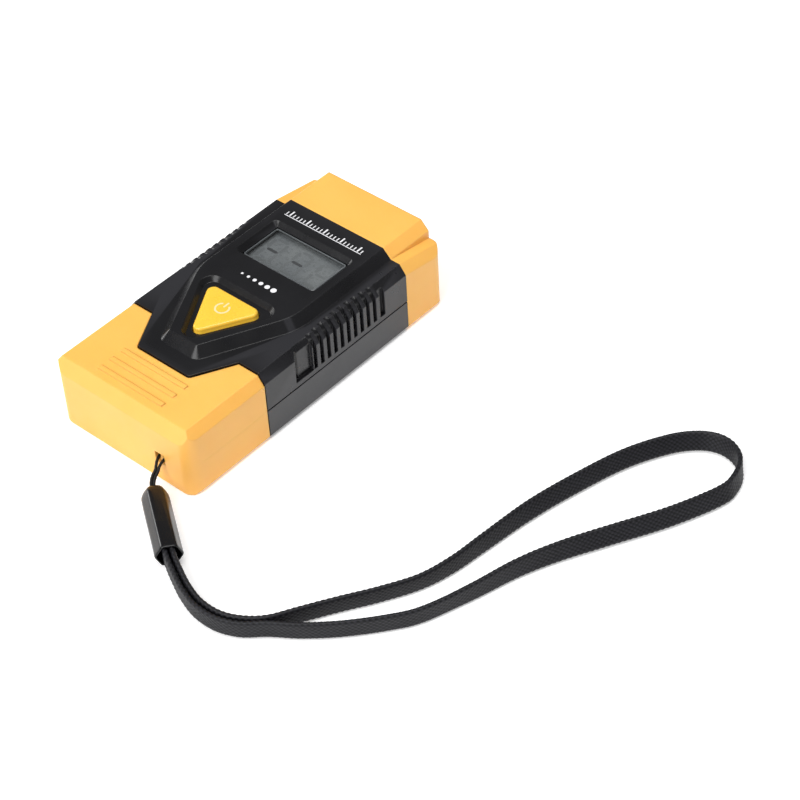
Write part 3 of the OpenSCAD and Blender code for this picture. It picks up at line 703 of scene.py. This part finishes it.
def plates(name, outlines, z, thick, mat, body, slot=None):
    """Thin raised plates, such as print or display segments, from flat outlines in millimetres."""
    verts, faces = [], []
    for outline in outlines:
        n, base = len(outline), len(verts)
        verts += [(x, y, z) for x, y in outline] + [(x, y, z + thick) for x, y in outline]
        faces.append([base + n + i for i in range(n)])
        faces.append([base + n - 1 - i for i in range(n)])
        faces += [[base + i, base + (i + 1) % n, base + n + (i + 1) % n, base + n + i] for i in range(n)]
    obj = mesh_object(name, verts, faces, smooth=False)
    paint(obj, mat)
    return place(obj, body, slot)


def bar_outline(x, y, w, l):
    """An upright bar with small cut corners."""
    c = min(w, l) * 0.2
    a, b = w / 2, l / 2
    return [(x + p, y + q) for p, q in (
        (-a + c, -b), (a - c, -b), (a, -b + c), (a, b - c),
        (a - c, b), (-a + c, b), (-a, b - c), (-a, -b + c))]


def dot_outline(x, y, r, count=24):
    return [(x + r * math.cos(2 * math.pi * k / count), y + r * math.sin(2 * math.pi * k / count))
            for k in range(count)]


def arc_outlines(x, y, r, w, first, last, steps):
    """A ring segment as short plates."""
    out = []
    for k in range(steps):
        a, b = (math.radians(first + (last - first) * (k + j) / steps) for j in (0, 1))
        out.append([(x + q * math.cos(t), y + q * math.sin(t))
                    for q, t in ((r - w / 2, a), (r + w / 2, a), (r + w / 2, b), (r - w / 2, b))])
    return out


def segment_outline(x, y, length, w, upright):
    """One pointed segment of a display digit."""
    a, b = length / 2, w / 2
    shape = [(-a, 0), (-a + b, -b), (a - b, -b), (a, 0), (a - b, b), (-a + b, b)]
    return [(x - q, y + p) if upright else (x + p, y + q) for p, q in shape]


def digit(x, y, w, h, thick):
    """The seven segments of a digit: three lying, then four upright."""
    lying = [segment_outline(x, y + k * h / 2, w - 0.5, thick, False) for k in (1, 0, -1)]
    upright = [segment_outline(x + i * w / 2, y + j * h / 4, h / 2 - 0.5, thick, True)
               for i in (-1, 1) for j in (-1, 1)]
    return lying, upright


def make_print():
    """A plain scale and a row of growing dots on the panel, and a power symbol on the key."""
    ticks = []
    for x in range(-11, 12):
        width, height = (0.38, 1.7) if x % 5 == 0 else (0.26, 1.0)
        ticks.append(bar_outline(x, 23.0 + height / 2, width, height))
    ticks.append(bar_outline(0, 22.75, 22.6, 0.2))
    plates("scale_print", ticks, PANEL_TOP, INK_T, INK, "meter")
    dots = [dot_outline(-4.6 + 1.85 * k, 2.3, 0.3 + 0.08 * k) for k in range(6)]
    plates("dot_print", dots, PANEL_TOP, INK_T, INK, "meter")
    icon = arc_outlines(0.1, -8.7, 1.55, 0.42, 125, 415, 20) + [bar_outline(0.1, -7.45, 0.42, 1.7)]
    plates("key_print", icon, KEY_TOP - 0.004, INK_T, KEY_INK, "button")


def make_display():
    """Three digits: two show a dash, and every other segment is only faintly seen."""
    z = 17.16
    faint, dark = [], []
    for x in (-7.3, 0.1, 7.0):
        lying, upright = digit(x, 14.2, 3.7, 7.4, 0.75)
        (dark if x < 5 else faint).append(lying[1])
        faint += [lying[0], lying[2]] + upright
    faint.append(dot_outline(3.6, 10.6, 0.42, 12))
    plates("display_segments_faint", faint, z, 0.01, GHOST, "meter", "display_glass")
    plates("display_segments_dark", dark, z, 0.02, SEGMENT, "meter", "display_glass")


def rounded_box_ring(w, l, r, z, mid_y, steps=5):
    """Points round a rectangle with rounded corners, at height z."""
    out = []
    for k, (i, j) in enumerate(((1, 1), (-1, 1), (-1, -1), (1, -1))):
        for n in range(steps + 1):
            a = math.radians(90 * (k + n / steps))
            x, y = i * (w / 2 - r) + r * math.cos(a), j * (l / 2 - r)
            out.append(Vector((x, mid_y + y + r * math.sin(a), z)))
    return out


def ring_band(name, rings):
    """A closed band through rings that join up again at the first one."""
    n, m = len(rings[0]), len(rings)
    faces = [[j * n + i, j * n + (i + 1) % n, (j + 1) % m * n + (i + 1) % n, (j + 1) % m * n + i]
             for j in range(m) for i in range(n)]
    return mesh_object(name, [p for r in rings for p in r], faces)


def make_window_rim():
    """The glossy bevel that runs round the clear window, painted light grey as a highlight line where it
    catches the light.
    """
    bead = [(0, 18.3), (0, 18.58), (0.05, 18.68), (0.14, 18.74), (0.24, 18.74), (0.3, 18.7), (0.3, 18.3)]
    rings = [rounded_box_ring(WINDOW_W - 2 * d, WINDOW_L - 2 * d, 0.6 - d, z, WINDOW_Y) for d, z in bead]
    obj = ring_band("clear_window_edge", rings)
    paint(obj, GLOSSY_RIM_HIGHLIGHT)
    place(obj, "meter", "clear_window")


def make_parting_lines():
    """Fine witness line of the mould along both sides of the battery cap, in a lighter yellow as a painted
    highlight.
    """
    for side in (-1, 1):
        x = 20 * side
        verts = [(x - 0.05 * side, y, z) for y in (-36.4, -17.6) for z in (7.85, 8.15)]
        verts += [(x + 0.03 * side, y, z) for y in (-36.2, -17.8) for z in (7.9, 7.94)]
        faces = [(0, 1, 3, 2), (4, 5, 7, 6), (0, 1, 5, 4), (2, 3, 7, 6), (0, 2, 6, 4), (1, 3, 7, 5)]
        obj = mesh_object("cap_parting_line_" + ("left" if side < 0 else "right"), verts, faces, smooth=False)
        paint(obj, WITNESS_PAINTED_HIGHLIGHT)
        place(obj, "battery_cap", "yellow_plastic")


make_print()
make_display()
make_window_rim()
make_parting_lines()


# ---- stage and light ----

LIGHT_AIM = Vector((0.01, 0, 0.01))


def make_floor():
    """Pale floor just under the object."""
    bm = bmesh.new()
    bmesh.ops.create_grid(bm, x_segments=24, y_segments=24, size=3)
    mesh = bpy.data.meshes.new("floor")
    bm.to_mesh(mesh)
    bm.free()
    floor = new_object("floor", mesh)
    floor.location.z = -0.0002
    m, tree, shader = material("floor")
    n = noise(tree, 0.02, 2)
    colour = between(tree, n.outputs["Fac"], (0.93, 0.93, 0.935), (0.95, 0.95, 0.95))
    tree.links.new(colour, shader.inputs["Base Color"])
    shader.inputs["Roughness"].default_value = 0.8
    shader.inputs["Specular IOR Level"].default_value = 0.1
    shader.inputs["Emission Color"].default_value = (1, 1, 1, 1)
    shader.inputs["Emission Strength"].default_value = 0.28
    floor.data.materials.append(m)


def soft_light(name, at, size, power):
    """A round area light that points at the object."""
    light = bpy.data.lights.new(name, "AREA")
    light.shape = "DISK"
    light.size = size
    light.energy = power
    obj = bpy.data.objects.new(name, light)
    bpy.context.scene.collection.objects.link(obj)
    obj.location = at
    obj.rotation_euler = (LIGHT_AIM - Vector(at)).to_track_quat("-Z", "Y").to_euler()


def make_light():
    world = bpy.data.worlds.new("studio")
    world.use_nodes = True
    bpy.context.scene.world = world
    back = world.node_tree.nodes["Background"]
    back.inputs["Color"].default_value = (1, 1, 1, 1)
    back.inputs["Strength"].default_value = 0.2
    soft_light("key", (-0.02, -0.85, 0.85), 1.0, 12)
    soft_light("top", (0.15, 0.1, 1.1), 0.8, 7.5)
    soft_light("left", (-1.0, -0.17, 0.27), 0.4, 2.5)
    bpy.context.scene.view_settings.view_transform = "Standard"
    bpy.context.scene.view_settings.look = "None"


make_floor()
make_light()
